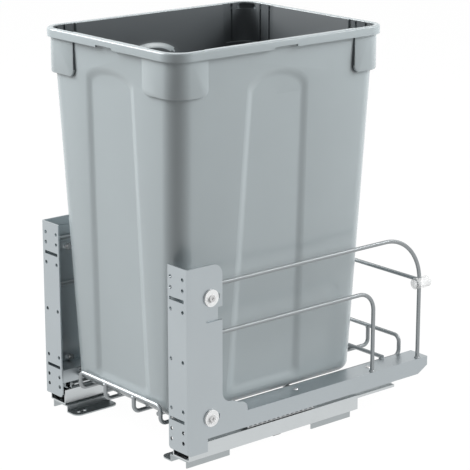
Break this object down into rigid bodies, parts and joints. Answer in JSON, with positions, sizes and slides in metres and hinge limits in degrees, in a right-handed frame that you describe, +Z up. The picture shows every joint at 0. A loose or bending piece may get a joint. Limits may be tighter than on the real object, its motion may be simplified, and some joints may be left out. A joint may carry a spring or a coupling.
{
  "type": "pull-out waste bin kit",
  "caption": "Tapered grey waste bin in a silver wire cradle on ball slides, with sheet brackets for a cabinet door.",
  "frame": {"origin": "on the cabinet floor, under the middle of the kit's overall box", "axes": "+Z up, -Y to the front, where the door goes, +X to the right seen from the front"},
  "size_m": [0.2892, 0.3938, 0.478],
  "materials": {
    "bin_grey": "satin moulded",
    "frame_silver": "satin silver coat",
    "wire_silver": "satin silver coat",
    "slide_zinc": "zinc plated",
    "foot_zinc": "zinc plated",
    "screw_steel": "plated",
    "disc_white": "moulded",
    "bumper_clear": "milky moulded",
    "ball_steel": "polished",
    "cage_steel": "plated"
  },
  "bodies": {
    "cabinet_base": {"front_foot_right": "foot_zinc", "rear_foot_right": "foot_zinc", "foot_rivets_right": "screw_steel", "slide_cabinet_member_right": "slide_zinc", "front_foot_left": "foot_zinc", "rear_foot_left": "foot_zinc", "foot_rivets_left": "screw_steel", "slide_cabinet_member_left": "slide_zinc"},
    "carriage": {"side_rail_right": "frame_silver", "rail_upright_right": "frame_silver", "upper_side_wire_right": "wire_silver", "lower_side_wire_right": "wire_silver", "slide_carriage_member_right": "slide_zinc", "rail_rivets_right": "screw_steel", "adjuster_discs_right": "disc_white", "adjuster_screws_right": "screw_steel", "adjuster_nuts_right": "screw_steel", "rear_bumper_right": "bumper_clear", "cradle_front_leg_right": "wire_silver", "cradle_floor_wire_right": "wire_silver", "side_rail_left": "frame_silver", "rail_upright_left": "frame_silver", "upper_side_wire_left": "wire_silver", "lower_side_wire_left": "wire_silver", "slide_carriage_member_left": "slide_zinc", "rail_rivets_left": "screw_steel", "adjuster_discs_left": "disc_white", "adjuster_screws_left": "screw_steel", "adjuster_nuts_left": "screw_steel", "rear_bumper_left": "bumper_clear", "cradle_front_leg_left": "wire_silver", "cradle_floor_wire_left": "wire_silver", "cradle_front_bar": "wire_silver", "cradle_rear_guard": "wire_silver", "cross_wire_front": "wire_silver", "cross_wire_middle": "wire_silver", "cross_wire_rear": "wire_silver", "rear_cross_wire": "wire_silver"},
    "bin": {"waste_bin": "bin_grey"},
    "right_door_bracket": {"door_bracket_right": "frame_silver"},
    "right_middle_member": {"slide_middle_member_right": "slide_zinc"},
    "right_lower_balls": {"lower_ball_cage_right": "cage_steel", "lower_balls_right": "ball_steel"},
    "right_upper_balls": {"upper_ball_cage_right": "cage_steel", "upper_balls_right": "ball_steel"},
    "left_door_bracket": {"door_bracket_left": "frame_silver"},
    "left_middle_member": {"slide_middle_member_left": "slide_zinc"},
    "left_lower_balls": {"lower_ball_cage_left": "cage_steel", "lower_balls_left": "ball_steel"},
    "left_upper_balls": {"upper_ball_cage_left": "cage_steel", "upper_balls_left": "ball_steel"}
  },
  "joints": [
    {"name": "carriage_slide", "type": "slide", "parent": "cabinet_base", "child": "carriage", "axis": [0, -1, 0], "range_m": [0, 0.34]},
    {"name": "bin_lift", "type": "slide", "parent": "carriage", "child": "bin", "axis": [0, 0, 1], "range_m": [0, 0.25]},
    {"name": "right_bracket_adjust", "type": "slide", "parent": "carriage", "child": "right_door_bracket", "axis": [0, -1, 0], "range_m": [0, 0.01]},
    {"name": "right_middle_slide", "type": "slide", "parent": "cabinet_base", "child": "right_middle_member", "axis": [0, -1, 0], "range_m": [0, 0.17]},
    {"name": "right_lower_cage_slide", "type": "slide", "parent": "cabinet_base", "child": "right_lower_balls", "axis": [0, -1, 0], "range_m": [0, 0.085]},
    {"name": "right_upper_cage_slide", "type": "slide", "parent": "cabinet_base", "child": "right_upper_balls", "axis": [0, -1, 0], "range_m": [0, 0.255]},
    {"name": "left_bracket_adjust", "type": "slide", "parent": "carriage", "child": "left_door_bracket", "axis": [0, -1, 0], "range_m": [0, 0.01]},
    {"name": "left_middle_slide", "type": "slide", "parent": "cabinet_base", "child": "left_middle_member", "axis": [0, -1, 0], "range_m": [0, 0.17]},
    {"name": "left_lower_cage_slide", "type": "slide", "parent": "cabinet_base", "child": "left_lower_balls", "axis": [0, -1, 0], "range_m": [0, 0.085]},
    {"name": "left_upper_cage_slide", "type": "slide", "parent": "cabinet_base", "child": "left_upper_balls", "axis": [0, -1, 0], "range_m": [0, 0.255]}
  ],
  "couplings": [
    {"joint": "right_middle_slide", "follows": "carriage_slide", "ratio": 0.5},
    {"joint": "right_lower_cage_slide", "follows": "carriage_slide", "ratio": 0.25},
    {"joint": "right_upper_cage_slide", "follows": "carriage_slide", "ratio": 0.75},
    {"joint": "left_middle_slide", "follows": "carriage_slide", "ratio": 0.5},
    {"joint": "left_lower_cage_slide", "follows": "carriage_slide", "ratio": 0.25},
    {"joint": "left_upper_cage_slide", "follows": "carriage_slide", "ratio": 0.75},
    {"joint": "left_bracket_adjust", "follows": "right_bracket_adjust", "ratio": 1}
  ]
}
